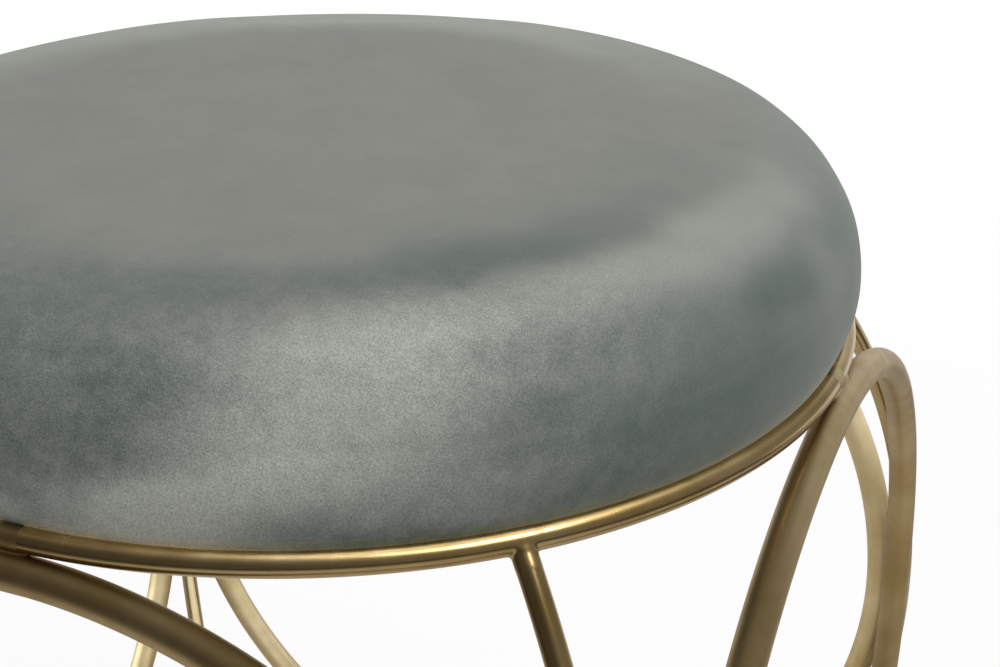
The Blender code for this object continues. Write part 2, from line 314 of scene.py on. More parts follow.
# Beads as half a length, half a width and half a height: where a hoop touches a ring, in the
# corner between two hoops, and between a rod and a hoop.
RING_BEAD = (0.007, 0.0024, 0.0030)
CORNER_BEAD = (0.014, 0.0030, 0.0026)
ROD_BEAD = (0.010, 0.0014, 0.0020)


def bead(centre, along, across, half_length, half_width, half_height):
    """A long rounded lump: circles whose size follows a half circle along the bead, squeezed to
    a half width and a half height."""
    along, across = along / np.linalg.norm(along), across / np.linalg.norm(across)
    third = np.cross(along, across)
    place = np.linspace(-0.99, 0.99, WELD_LINES)[:, None, None]
    size = np.sqrt(1 - place**2)
    angle = turn_steps(TUBE_SIDES)[None, :, None]
    round_part = half_width * np.cos(angle) * across + half_height * np.sin(angle) * third
    return centre + place * half_length * along + size * round_part


def weld_radius(radius):
    """A tube's radius along a weld: a hair over the tube's own in the middle third, and from there
    falling by the square of the distance until it is tucked under the surface at both ends."""
    place = np.abs(np.linspace(-1, 1, WELD_LINES))
    fall = np.clip((place - 0.35) / 0.65, 0, 1) ** 2
    return radius + WELD_SWELL - (WELD_SWELL + WELD_TUCK) * fall


def melted(parts):
    """The parts run together: their union as small voxels, smoothed so that the corners between
    them fill."""
    points, faces = closed_surface(parts)
    mesh = bpy.data.meshes.new("weld")
    mesh.from_pydata(points.tolist(), [], faces)
    lump = bpy.data.objects.new("weld", mesh)
    bpy.context.scene.collection.objects.link(lump)
    melt = lump.modifiers.new("melt", "REMESH")
    melt.mode = "VOXEL"
    melt.voxel_size = WELD_GRAIN
    ground = lump.modifiers.new("ground", "SMOOTH")
    ground.factor = 0.5
    ground.iterations = WELD_SMOOTHING
    graph = bpy.context.evaluated_depsgraph_get()
    solid = lump.evaluated_get(graph).to_mesh()
    spots = np.empty(len(solid.vertices) * 3)
    solid.vertices.foreach_get("co", spots)
    corners = np.empty(len(solid.loops), int)
    solid.loops.foreach_get("vertex_index", corners)
    quads = corners.reshape(-1, 4)
    bpy.data.objects.remove(lump)
    return spots.reshape(-1, 3), quads


def weld_piece(name, lumps, look):
    """One object from melted lumps, with each lump's faces counted on from the lump before."""
    starts = np.cumsum([0] + [len(points) for points, quads in lumps[:-1]])
    faces = np.vstack([quads + start for (points, quads), start in zip(lumps, starts)])
    skin(name, np.vstack([points for points, quads in lumps]), faces.tolist(), look, "satin_gold")


def turned_copy(lump, quarter):
    """The lump turned about the stool's axis by quarter turns."""
    points, quads = lump
    turn = Matrix.Rotation(quarter * np.pi / 2, 3, "Z")
    return points @ np.array(turn).T, quads


# No bead sits quite in the middle of its joint.
SEAM_SHIFTS = {"right": 0.009, "back": -0.003, "left": 0.002, "front": -0.008}
end_to_end = np.linspace(-WELD_REACH, WELD_REACH, WELD_LINES)
for name, ring_z, way in (("seat_ring_weld", SEAT_RING_Z, 1), ("base_ring_weld", BASE_RING_Z, -1)):
    for side, (x, y) in SIDES.items():
        out = np.array([x, y, 0.0])
        swing = np.arctan2(y, x)
        ring_path = level_circle(swing + end_to_end * HOOP_WELD_SHARE / RING_RADIUS, ring_z)
        ring_part = tube(ring_path, UP, weld_radius(ROD_RADIUS), loop=False)
        hoop_path = standing_circle(out, way * np.pi / 2 + end_to_end / HOOP_RADIUS)
        hoop_part = tube(hoop_path, out, weld_radius(HOOP_TUBE_RADIUS), loop=False)
        ring_spot = out * RING_RADIUS + UP * ring_z
        between = out * HOOP_PLANE + UP * (MIDDLE_Z + way * HOOP_RADIUS) - ring_spot
        touch = ring_spot + between * ROD_RADIUS / (ROD_RADIUS + HOOP_TUBE_RADIUS)
        level = np.cross(UP, out)
        seam = bead(touch + level * SEAM_SHIFTS[side], level, between, *RING_BEAD)
        lump = melted([(ring_part, "cap"), (hoop_part, "cap"), (seam, "cap")])
        weld_piece(f"{side}_{name}", [lump], SOFT_GOLD)

# The rod's end laps up the ring's outer face and is ground off to a taper.
LAP_RADIUS = RING_RADIUS + 0.0011
LAP_RISE = 0.0030
LAP_TAPER = 0.0026
LAP_LINES = 8
LAP_START = 0.003
rod_lumps = []
for corner, (x, y) in CORNERS.items():
    level = np.array([-y, x, 0.0]) / np.sqrt(2)
    for ring_z, way in ((SEAT_RING_Z, 1), (BASE_RING_Z, -1)):
        below = np.linspace(LAP_START, WELD_REACH, WELD_LINES - LAP_LINES)
        rod_path = bowed_path(corner, way * (AIM_ANGLE - below / BOW_RADIUS))
        swing = np.arctan2(rod_path[0, 1], rod_path[0, 0])
        outward = np.array([np.cos(swing), np.sin(swing), 0.0])
        climb = np.linspace(1, 0, LAP_LINES)[:, None]
        lap = outward * LAP_RADIUS + UP * (ring_z + way * LAP_RISE * climb)
        lap_radius = weld_radius(ROD_RADIUS)
        lap_radius[: WELD_LINES // 2] = lap_radius[WELD_LINES // 2]
        lap_radius[:LAP_LINES] -= LAP_TAPER * climb[:, 0]
        rod_part = tube(np.vstack([lap, rod_path]), level, lap_radius, loop=False)
        ring_path = level_circle(swing + end_to_end * ROD_WELD_SHARE / RING_RADIUS, ring_z)
        ring_part = tube(ring_path, UP, weld_radius(ROD_RADIUS), loop=False)
        rod_lumps.append(melted([(ring_part, "cap"), (rod_part, "cap")]))
weld_piece("corner_rod_welds", rod_lumps, BRIGHT_GOLD)

corner_out = np.array([1.0, 1.0, 0.0]) / np.sqrt(2)
level = np.cross(UP, corner_out)
inner = corner_out * GROOVE_RADIUS + UP * MIDDLE_Z
rod_spot = corner_out * ROD_MIDDLE_RADIUS + UP * MIDDLE_Z
seams = [(bead(inner, UP, level, *CORNER_BEAD), "cap")]
for hand in (-1, 1):
    hoop_spot = inner + level * hand * GROOVE_HALF_WIDTH
    touch = rod_spot + (hoop_spot - rod_spot) * ROD_RADIUS / (ROD_RADIUS + HOOP_TUBE_RADIUS)
    seams.append((bead(touch, UP, hoop_spot - rod_spot, *ROD_BEAD), "cap"))
corner_lump = melted(seams)
weld_piece("side_welds", [turned_copy(corner_lump, quarter) for quarter in range(4)], SOFT_GOLD)


# Seat tabs
# Four flat tongues of 3 mm steel, welded inside the seat ring and plated with it. The seat is
# screwed down on them.

for side in SIDES:
    tab = frame["nodes"][f"{side}_tab"]
    tab.data.materials.clear()
    tab.data.materials.append(BRIGHT_GOLD)


# Washers, button screws and threaded inserts
# Turned and pressed steel with a zinc plating: a cool grey sheen with a fine turned grain.

ZINC = "#a9adb0"
ZINC_DULL = "#84888b"


def zinc_plated_steel():
    """Bright zinc: cool grey metal with dull patches about 2 mm across and a fine grain."""
    made, tree, shader, place = new_material("zinc_plated_steel")
    patches = add(tree, "ShaderNodeTexNoise", {"Scale": 420.0, "Detail": 4.0}, {"Vector": place})
    stops = [(0.35, ZINC_DULL), (0.6, ZINC)]
    colour = add(tree, "ShaderNodeValToRGB", links={"Fac": patches}, stops=stops)
    values = {"To Min": 0.28, "To Max": 0.45}
    rough = add(tree, "ShaderNodeMapRange", values, {"Value": patches})
    grain = add(tree, "ShaderNodeTexNoise", {"Scale": 2500.0, "Detail": 2.0}, {"Vector": place})
    values = {"Strength": 0.1, "Distance": 0.0001}
    turned = add(tree, "ShaderNodeBump", values, {"Height": grain})
    feed(shader, {"Base Color": colour, "Roughness": rough, "Normal": turned})
    shader.inputs["Metallic"].default_value = 1.0
    return made


ZINC_STEEL = zinc_plated_steel()
for side in SIDES:
    for kind in ("washer", "screw", "t_nut"):
        fixing = frame["nodes"][f"{side}_{kind}"]
        fixing.data.materials.clear()
        fixing.data.materials.append(ZINC_STEEL)


# Seat board
# A disc of 12 mm birch plywood inside the cover, with its rotary-cut face grain along X.

BIRCH = "#c9a576"
BIRCH_DARK = "#a98254"


def birch_plywood():
    """Rotary-cut birch: pale tan with long stretched figure and fine pores."""
    made, tree, shader, place = new_material("birch_plywood")
    stretch = add(tree, "ShaderNodeMapping", {"Scale": (6.0, 60.0, 60.0)}, {"Vector": place})
    values = {"Scale": 1.0, "Detail": 6.0, "Roughness": 0.6}
    figure = add(tree, "ShaderNodeTexNoise", values, {"Vector": stretch})
    stops = [(0.35, BIRCH_DARK), (0.62, BIRCH)]
    colour = add(tree, "ShaderNodeValToRGB", links={"Fac": figure}, stops=stops)
    values = {"Strength": 0.15, "Distance": 0.0004}
    pores = add(tree, "ShaderNodeBump", values, {"Height": figure})
    feed(shader, {"Base Color": colour, "Normal": pores})
    shader.inputs["Roughness"].default_value = 0.6
    return made


board = frame["nodes"]["seat_board"]
board.data.materials.clear()
board.data.materials.append(birch_plywood())


# Foam pad
# Cream polyurethane foam between the board and the cover, cut and domed.

FOAM = "#e6dcb8"
FOAM_CELL = "#cfc39a"


def cut_foam():
    """Open-cell foam: cream, matte, with cells about half a millimetre across."""
    made, tree, shader, place = new_material("cut_foam")
    cells = add(tree, "ShaderNodeTexVoronoi", {"Scale": 1600.0}, {"Vector": place})
    stops = [(0.1, FOAM_CELL), (0.5, FOAM)]
    colour = add(tree, "ShaderNodeValToRGB", links={"Fac": cells}, stops=stops)
    values = {"Strength": 0.4, "Distance": 0.0004}
    pits = add(tree, "ShaderNodeBump", values, {"Height": cells})
    feed(shader, {"Base Color": colour, "Normal": pits})
    shader.inputs["Roughness"].default_value = 0.95
    return made


pad = frame["nodes"]["foam_pad"]
pad.data.materials.clear()
pad.data.materials.append(cut_foam())


# Dust cover
# A disc of thin black non-woven cloth that closes the underside of the seat.

LINING = "#232221"
LINING_FIBRE = "#3a3836"


def spunbond_lining():
    """Spunbonded polypropylene: near black and matte, with pressed dots 1.5 mm apart and loose
    fibres."""
    made, tree, shader, place = new_material("spunbond_lining")
    fibres = add(tree, "ShaderNodeTexNoise", {"Scale": 600.0, "Detail": 6.0}, {"Vector": place})
    stops = [(0.4, LINING), (0.7, LINING_FIBRE)]
    colour = add(tree, "ShaderNodeValToRGB", links={"Fac": fibres}, stops=stops)
    values = {"Scale": 660.0, "Randomness": 0.15}
    dots = add(tree, "ShaderNodeTexVoronoi", values, {"Vector": place})
    values = {"Strength": 0.5, "Distance": 0.0003}
    pressed = add(tree, "ShaderNodeBump", values, {"Height": dots})
    feed(shader, {"Base Color": colour, "Normal": pressed})
    shader.inputs["Roughness"].default_value = 0.9
    return made


lining = frame["nodes"]["dust_cover"]
lining.data.materials.clear()
lining.data.materials.append(spunbond_lining())


# Seat cover
# Grey-green cotton velvet, stretched over the domed foam and drawn in tight above the seat ring.
# It is turned in and stapled under the board, so no seam shows.

COVER_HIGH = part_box("seat_cover")[1]
SEAT_RADIUS = COVER_HIGH.x
CROWN = COVER_HIGH.z - SEAT_RING_Z

# From the drawn-in edge over the shoulder to the crown: shares of the seat's radius and heights
# above the seat ring's centre.
SEAT_SECTION = np.array(
    [
        (0.962, 0.0027),
        (0.972, 0.0033),
        (0.978, 0.0044),
        (0.990, 0.0100),
        (1.000, 0.0215),
        (0.993, 0.0340),
        (0.973, 0.0450),
        (0.939, 0.0545),
        (0.890, 0.0612),
        (0.826, 0.0650),
        (0.705, 0.0679),
        (0.504, 0.0705),
        (0.252, 0.0722),
        (0.000, CROWN),
    ]
)
SEAT_LINES = 100
SEAT_POINTS = 200
UNDER_LINES = 12
DRAW_IN_HEIGHT = 0.006

CLOTH_FRAMES = 20
CLOTH_PRESSURE = 4.0
CLOTH_SHRINK = -0.02
CLOTH_CAP = 0.0005
CLOTH_WAVES = 8

# The deep and pale ends of the ramps carry the patches' painted light and shade as well as the
# brushed pile.
VELVET_DEEP = "#5a6861"
# Painted sheen: the top is a little less green than the side, where it is seen at a low angle.
VELVET_TOP_DYE_AND_SHEEN = "#8a8b86"
VELVET_SIDE = "#868b86"
VELVET_PALE = "#bcc0b8"
VELVET_SHEEN = "#d6dbd4"

# How pale the velvet is painted, partly from the brushed pile and partly as painted light, shade
# and sheen: an angle round the seat, how far round a patch reaches, a run up the cover from its
# lower edge, how far up it reaches, its lean, and how much paler it is. Angles are in degrees from
# +X, runs in metres and leans in degrees per metre.
PILE_AND_PAINTED_LIGHT_PATCHES = [
    # Darker round the front of the top, above the pale front of the side.
    (-65, 24, 0.094, 0.014, 0, -0.22),
    (-38, 22, 0.104, 0.014, 0, -0.20),
    (-20, 40, 0.110, 0.030, 0, -0.08),
    (-105, 25, 0.085, 0.025, 0, -0.15),
    # Darker down the left of the side.
    (-88, 14, 0.055, 0.035, 0, -0.15),
    (-78, 6, 0.045, 0.020, 0, -0.15),
    # The broad pale stroke up the front, and its arm along the shoulder to the right: brushed pile,
    # with a painted sheen where the shoulder faces the camera.
    (-62, 12, 0.045, 0.035, -240, 0.70),
    (-70, 8, 0.028, 0.014, 0, 0.35),
    (-45, 14, 0.075, 0.015, 0, 0.22),
    (-22, 15, 0.080, 0.014, 0, 0.35),
    (0, 12, 0.078, 0.014, 0, 0.25),
    # Pale strokes low on the left, a dark lower edge beside them, and a lighter place above it.
    (-77, 8, 0.015, 0.013, 0, 0.70),
    (-92, 4, 0.010, 0.006, 0, 0.60),
    (-57, 10, 0.003, 0.010, 0, -0.35),
    (-50, 8, 0.018, 0.010, 0, 0.30),
    # Painted shade on the right of the side, with small clouds.
    (-30, 18, 0.020, 0.018, 0, -0.20),
    (-25, 15, 0.045, 0.020, 0, -0.20),
    (-45, 4, 0.043, 0.006, 0, -0.15),
    (-11, 7, 0.054, 0.010, -200, -0.25),
    (8, 9, 0.045, 0.020, 0, -0.20),
    # Paler round the far shoulder: painted sheen, where the cover is seen at a low angle.
    (115, 60, 0.095, 0.025, 0, 0.50),
    # The sides that the photograph doesn't show.
    (90, 20, 0.030, 0.025, 60, -0.40),
    (130, 15, 0.035, 0.035, -190, 0.50),
    (160, 20, 0.035, 0.030, 0, -0.25),
    (195, 40, 0.080, 0.015, 90, 0.30),
    (220, 25, 0.040, 0.030, 0, -0.20),
]
# Where it has been rubbed rough, in the same terms.
RUBBED_PATCHES = [
    (-75, 46, 0.026, 0.072, 0, 0.9),
    (-45, 16, 0.070, 0.022, 0, 0.4),
    (118, 40, 0.040, 0.056, 0, 0.7),
]
# The faint crease along the front of the side, with a painted shade below it.
CREASE_RUN = 0.033
CREASE_ANGLE = -32
CREASE_REACH = 36
CREASE_DEPTH = 0.0003
# The hand-cut foam's unevenness round the shoulder.
UNEVEN_ANGLE = 62
RISE_TWICE = 0.0007
RISE_THRICE = 0.0006
REACH_THRICE = 0.0003
# Heights above the seat ring's centre: where the side wall meets the top, and where the cover
# starts to turn down, with the depth over which it turns.
SHOULDER_HEIGHT = 0.045
TURN_TOP = 0.0675
TURN_DEPTH = 0.010


def smooth_line(points, count, crowding=1.0):
    """A smooth line through the points. On each stretch it is the cubic through both points whose
    slopes come from the points on either side; past the crown the line mirrors. The new points
    are evenly spaced, or crowd towards the start by the power given."""
    padded = np.vstack([2 * points[0] - points[1], points, points[-2] * [-1, 1]])
    before, start, end, after = (padded[i : len(padded) - 3 + i, None] for i in range(4))
    t = np.linspace(0, 1, 24, endpoint=False)[None, :, None]
    slope = (end - before) * t
    square = (2 * before - 5 * start + 4 * end - after) * t**2
    cube = (3 * start - before - 3 * end + after) * t**3
    line = np.vstack([0.5 * (2 * start + slope + square + cube).reshape(-1, 2), points[-1:]])
    run = np.r_[0, np.cumsum(np.linalg.norm(np.diff(line, axis=0), axis=1))]
    spaced = run[-1] * np.linspace(0, 1, count) ** crowding
    return np.stack([np.interp(spaced, run, line[:, 0]), np.interp(spaced, run, line[:, 1])], -1)


def cushion_grid():
    """The section turned about the upright axis, with the underside drawn flat to the edge. The
    hand-cut foam makes the shoulder rise and fall as two and three waves round the seat, by a
    millimetre in all, and the cover has a faint crease along the front of its side."""
    side = smooth_line(SEAT_SECTION * [SEAT_RADIUS, 1], SEAT_LINES, 1.4)
    inward = np.geomspace(0.98, 0.002, UNDER_LINES)[:, None]
    under = (1 - inward) * [side[0, 0], 0] + [0, side[0, 1]]
    section = np.vstack([under, side[:-1]])
    angle = turn_steps(SEAT_POINTS)[None, :]
    radius, height = section[:, :1], section[:, 1:]
    above = np.clip((height - side[0, 1]) / 0.03, 0, 1)
    outer = (radius / SEAT_RADIUS) ** 2
    twice = np.cos(2 * (angle - np.radians(UNEVEN_ANGLE)))
    thrice = np.cos(3 * (angle - np.radians(UNEVEN_ANGLE)))
    rise = height + above * outer * (RISE_TWICE * twice + RISE_THRICE * thrice)
    away = (np.degrees(angle) - CREASE_ANGLE + 180) % 360 - 180
    level = (height - side[0, 1] - CREASE_RUN) / 0.002
    groove = np.exp(-(level**2) - (away / CREASE_REACH) ** 4)
    reach = radius + above * outer * REACH_THRICE * thrice - CREASE_DEPTH * groove
    return np.stack([reach * np.cos(angle), reach * np.sin(angle), rise + SEAT_RING_Z], -1)


def blown_out(grid):
    """The grid with the small unevenness of stretched cloth. The cover is held at its drawn-in
    edge and blown out by the foam's pressure in a cloth simulation. Of the movement along each
    line round the seat only the slow waves are kept, without the average, so the seat keeps its
    section. They fade out towards the crown, and no point moves over the cap."""
    points, faces = closed_surface([(grid, "cap")])
    mesh = bpy.data.meshes.new("cover_cloth")
    mesh.from_pydata(points.tolist(), [], faces)
    cover = bpy.data.objects.new("cover_cloth", mesh)
    bpy.context.scene.collection.objects.link(cover)
    held = cover.vertex_groups.new(name="held")
    low = points[:, 2] < SEAT_RING_Z + SEAT_SECTION[0, 1] + DRAW_IN_HEIGHT
    held.add(np.flatnonzero(low).tolist(), 1.0, "REPLACE")
    cloth = cover.modifiers.new("stretch", "CLOTH")
    cloth.settings.vertex_group_mass = "held"
    cloth.settings.use_pressure = True
    cloth.settings.uniform_pressure_force = CLOTH_PRESSURE
    cloth.settings.effector_weights.gravity = 0.0
    cloth.settings.quality = 5
    cloth.settings.shrink_min = CLOTH_SHRINK
    cloth.point_cache.frame_start = 1
    cloth.point_cache.frame_end = CLOTH_FRAMES
    for number in range(1, CLOTH_FRAMES + 1):
        bpy.context.scene.frame_set(number)
    graph = bpy.context.evaluated_depsgraph_get()
    moved = np.empty(len(points) * 3)
    cover.evaluated_get(graph).data.vertices.foreach_get("co", moved)
    bpy.data.objects.remove(cover)
    bpy.context.scene.frame_set(1)
    shift = moved.reshape(-1, 3)[: grid.shape[0] * grid.shape[1]].reshape(grid.shape) - grid
    waves = np.fft.rfft(shift, axis=1)
    waves[:, 0] = 0
    waves[:, CLOTH_WAVES:] = 0
    uneven = np.fft.irfft(waves, SEAT_POINTS, axis=1)
    uneven *= np.hypot(grid[..., :1], grid[..., 1:2]) / SEAT_RADIUS
    size = np.linalg.norm(uneven, axis=-1, keepdims=True)
    return grid + uneven * np.minimum(1, CLOTH_CAP / np.maximum(size, 1e-9))


def place_on_cover(points):
    """Each point's angle round the seat in degrees, and its run up the cover from the lower edge:
    read off the section by height on the side wall and by radius on top."""
    side = smooth_line(SEAT_SECTION * [SEAT_RADIUS, 1], 400)
    run = np.linspace(0, np.linalg.norm(np.diff(side, axis=0), axis=1).sum(), 400)
    flat, height = np.hypot(points[:, 0], points[:, 1]), points[:, 2] - SEAT_RING_Z
    upper = side[:, 1] > SHOULDER_HEIGHT
    by_height = np.interp(height, side[:, 1], run)
    by_radius = np.interp(-flat, -side[upper, 0], run[upper])
    climb = np.where(height < SHOULDER_HEIGHT, by_height, by_radius)
    return np.degrees(np.arctan2(points[:, 1], points[:, 0])), climb


def bell_sum(angle, climb, patches):
    """The sum of the patches' shares. Each falls off round the seat and up the cover like a
    flat-topped bell."""
    total = np.zeros(len(angle))
    for centre, reach, middle, rise, lean, share in patches:
        up = (climb - middle) / rise
        around = ((angle - centre + lean * (climb - middle) + 180) % 360 - 180) / reach
        total += share * np.exp(-np.abs(around) ** 3 - np.abs(up) ** 3)
    return total


def brushed(points):
    """How pale the velvet is painted at each point, from the brushed pile and from painted light,
    shade
    and sheen: one plus the patches, whose edges wander in waves of a few millimetres, and less by a
    painted shade below the crease."""
    angle, climb = place_on_cover(points)
    turn = np.radians(angle)
    wander = 0.0012 * np.sin(13 * turn + 80 * climb) + 0.0008 * np.sin(29 * turn)
    swing = 1.5 * np.sin(110 * climb + 0.5) + 1.0 * np.sin(270 * climb + 3 * turn)
    pale = 1 + bell_sum(angle + swing, climb + wander, PILE_AND_PAINTED_LIGHT_PATCHES)
    # Painted shade: below the crease, round the front, the side is a little darker.
    under = 1 / (1 + np.exp((climb - CREASE_RUN) / 0.0007))
    return pale - 0.07 * under * np.exp(-(((angle - CREASE_ANGLE) / CREASE_REACH) ** 4))


def rubbed(points):
    """How rough the pile has been rubbed at each point, from none to one."""
    return bell_sum(*place_on_cover(points), RUBBED_PATCHES)


def turned_down(points):
    """How far the cover has turned from the top, none, to its upright side, one: by how far a
    point lies below the start of the turn, as a share of the turn's depth."""
    return np.clip((SEAT_RING_Z + TURN_TOP - points[:, 2]) / TURN_DEPTH, 0, 1)


def cotton_velvet():
    """Short cut pile: matte with a soft sheen at a low angle, paler and deeper by the painted
    patches, which are partly brushed pile and partly painted light, shade and sheen. Where it has
    been rubbed it has cloudy strokes and a strong grain of fibre tufts. The tufts are 0.5 mm across,
    twice their real size, because finer ones don't show."""
    made, tree, shader, place = new_material("cotton_velvet")
    # The first attribute is the pile's painted tone: brushed pile with painted light, shade and
    # sheen.
    pile_and_light_tone, rub, side = (
        add(tree, "ShaderNodeAttribute", attribute_name=name).outputs["Fac"]
        for name in ("brushed", "rubbed", "turned_down")
    )
    middle = {"From Min": 0.3, "From Max": 0.7}

    values = {"Scale": 45.0, "Detail": 5.0, "Roughness": 0.6}
    drifts = add(tree, "ShaderNodeTexNoise", values, {"Vector": place})
    values = {**middle, "To Min": -0.05, "To Max": 0.05}
    cloud = add(tree, "ShaderNodeMapRange", values, {"Value": drifts})
    values = {"Scale": 150.0, "Detail": 5.0, "Roughness": 0.7}
    smears = add(tree, "ShaderNodeTexNoise", values, {"Vector": place})
    values = {**middle, "To Min": -0.2, "To Max": 0.2}
    mottle = add(tree, "ShaderNodeMapRange", values, {"Value": smears})
    strokes = add(tree, "ShaderNodeMath", links={0: mottle, 1: rub}, operation="MULTIPLY")
    uneven = add(tree, "ShaderNodeMath", links={0: cloud, 1: strokes}, operation="ADD")
    pale = add(tree, "ShaderNodeMath", links={0: pile_and_light_tone, 1: uneven}, operation="ADD")
    tone = add(tree, "ShaderNodeMapRange", {"From Min": 0.5, "From Max": 2.0}, {"Value": pale})
    # Painted sheen: the top takes a less green colour than the upright side.
    top_dye_and_sheen, side_dye = (
        add(
            tree,
            "ShaderNodeValToRGB",
            links={"Fac": tone},
            stops=[(0.0, VELVET_DEEP), (0.33, code), (1.0, VELVET_PALE)],
        )
        for code in (VELVET_TOP_DYE_AND_SHEEN, VELVET_SIDE)
    )
    links = {0: side, 6: top_dye_and_sheen, 7: side_dye}
    dye_and_painted_light = add(tree, "ShaderNodeMix", links=links, data_type="RGBA").outputs[2]

    values = {"Scale": 1900.0, "Detail": 2.0, "Roughness": 0.8}
    tufts = add(tree, "ShaderNodeTexNoise", values, {"Vector": place})
    values = {**middle, "To Min": -1.0, "To Max": 1.0}
    signed = add(tree, "ShaderNodeMapRange", values, {"Value": tufts})
    depth = add(tree, "ShaderNodeMapRange", {"To Min": 0.06, "To Max": 0.36}, {"Value": rub})
    links = {0: signed, 1: depth}
    grain = add(tree, "ShaderNodeMath", {2: 1.0}, links, operation="MULTIPLY_ADD")
    grainy = add(tree, "ShaderNodeVectorMath", links={0: dye_and_painted_light, "Scale": grain}, operation="SCALE")
    values = {"Strength": 0.5, "Distance": 0.0012}
    nap = add(tree, "ShaderNodeBump", values, {"Height": strokes})
    stand = add(tree, "ShaderNodeMath", links={0: tufts, 1: depth}, operation="MULTIPLY")
    values = {"Strength": 0.8, "Distance": 0.0006}
    pile = add(tree, "ShaderNodeBump", values, {"Height": stand, "Normal": nap})
    feed(shader, {"Base Color": grainy, "Normal": pile})
    shader.inputs["Roughness"].default_value = 1.0
    shader.inputs["Specular IOR Level"].default_value = 0.1
    shader.inputs["Sheen Weight"].default_value = 0.4
    shader.inputs["Sheen Roughness"].default_value = 0.4
    shader.inputs["Sheen Tint"].default_value = to_linear(VELVET_SHEEN)
    return made


seat_grid = cushion_grid()
seat_grid = blown_out(seat_grid)
form = closed_surface([(seat_grid, "cap")])
seat = skin("velvet_seat", *form, cotton_velvet(), "velvet", ["seat_cover"])
finer = seat.modifiers.new("finer", "SUBSURF")
finer.levels = 1
finer.render_levels = 1
graph = bpy.context.evaluated_depsgraph_get()
fine_mesh = bpy.data.meshes.new_from_object(seat.evaluated_get(graph))
seat.modifiers.clear()
seat.data = fine_mesh
fine_points = np.empty(len(fine_mesh.vertices) * 3)
fine_mesh.vertices.foreach_get("co", fine_points)
for measure in (brushed, rubbed, turned_down):
    values = fine_mesh.attributes.new(measure.__name__, "FLOAT", "POINT")
    values.data.foreach_set("value", measure(fine_points.reshape(-1, 3)))


# Foot glides
# Four moulded pads of black nylon under the base ring, one below each hoop. The ring lies in a
# groove in the top of each.

NYLON = "#1b1b1c"
NYLON_WORN = "#2b2b2c"
GLIDE_LOW, GLIDE_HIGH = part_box("right_glide")
GLIDE_RADIUS = (GLIDE_HIGH.y - GLIDE_LOW.y) / 2
GLIDE_ROUNDING = 0.0008
GLIDE_POINTS = 64


def moulded_nylon():
    """Injection-moulded nylon: black and faintly glossy, with a fine spark-eroded texture."""
    made, tree, shader, place = new_material("moulded_nylon")
    scuffs = add(tree, "ShaderNodeTexNoise", {"Scale": 300.0, "Detail": 5.0}, {"Vector": place})
    stops = [(0.45, NYLON), (0.7, NYLON_WORN)]
    colour = add(tree, "ShaderNodeValToRGB", links={"Fac": scuffs}, stops=stops)
    values = {"To Min": 0.4, "To Max": 0.6}
    rough = add(tree, "ShaderNodeMapRange", values, {"Value": scuffs})
    grain = add(tree, "ShaderNodeTexNoise", {"Scale": 3000.0, "Detail": 1.0}, {"Vector": place})
    values = {"Strength": 0.2, "Distance": 0.0001}
    eroded = add(tree, "ShaderNodeBump", values, {"Height": grain})
    feed(shader, {"Base Color": colour, "Roughness": rough, "Normal": eroded})
    return made


NYLON_LOOK = moulded_nylon()


def glide_grid(centre):
    """A low drum with rounded rims: a short upright line between two quarter circles, turned
    about the drum's own axis."""
    bend = np.linspace(0, np.pi / 2, 8)
    inner = GLIDE_RADIUS - GLIDE_ROUNDING
    low = np.stack([inner + GLIDE_ROUNDING * np.sin(bend), GLIDE_ROUNDING * (1 - np.cos(bend))], -1)
    high = low[::-1] * [1, -1] + [0, BASE_RING_Z]
    section = np.vstack([low, high])
    angle = turn_steps(GLIDE_POINTS)[None, :]
    reach, height = section[:, :1], section[:, 1:]
    level = np.stack([reach * np.cos(angle), reach * np.sin(angle)], -1) + centre
    return np.concatenate([level, np.repeat(height, GLIDE_POINTS, 1)[..., None]], -1)


for side, (x, y) in SIDES.items():
    drum = closed_surface([(glide_grid(np.array([x, y]) * RING_RADIUS), "cap")])
    skin(f"nylon_{side}_glide", *drum, NYLON_LOOK, "black_plastic", [f"{side}_glide"])


# Studio
# A white floor and a white background behind the stool, with a dim room in front of it. A soft
# key lamp stands high on the right, a large one hangs overhead and a weak one fills from the
# front, and seven more each light a part of the metal alone. The camera stands where the
# photograph was taken.

CAMERA_PLACE = Vector((0.3021, -0.5714, SEAT_RING_Z + 0.2763))
CAMERA_TURN = np.radians(21.865)
CAMERA_DOWN = np.radians(24.479)
CAMERA_ROLL = np.radians(0.567)
CAMERA_LENS = 66.64
LOOK = Vector((-np.sin(CAMERA_TURN), np.cos(CAMERA_TURN), 0))
RIGHT = Vector((np.cos(CAMERA_TURN), np.sin(CAMERA_TURN), 0))

forward = LOOK * np.cos(CAMERA_DOWN) - Vector((0, 0, np.sin(CAMERA_DOWN)))
level_up = RIGHT.cross(forward)
right = RIGHT * np.cos(CAMERA_ROLL) + level_up * np.sin(CAMERA_ROLL)
upward = level_up * np.cos(CAMERA_ROLL) - RIGHT * np.sin(CAMERA_ROLL)
camera = bpy.data.objects.new("camera", bpy.data.cameras.new("camera"))
bpy.context.scene.collection.objects.link(camera)
turned = Matrix((right, upward, -forward)).transposed().to_4x4()
camera.matrix_world = Matrix.Translation(CAMERA_PLACE) @ turned
camera.data.lens = CAMERA_LENS
camera.data.sensor_width = 36.0
camera.data.clip_start = 0.05
bpy.context.scene.camera = camera

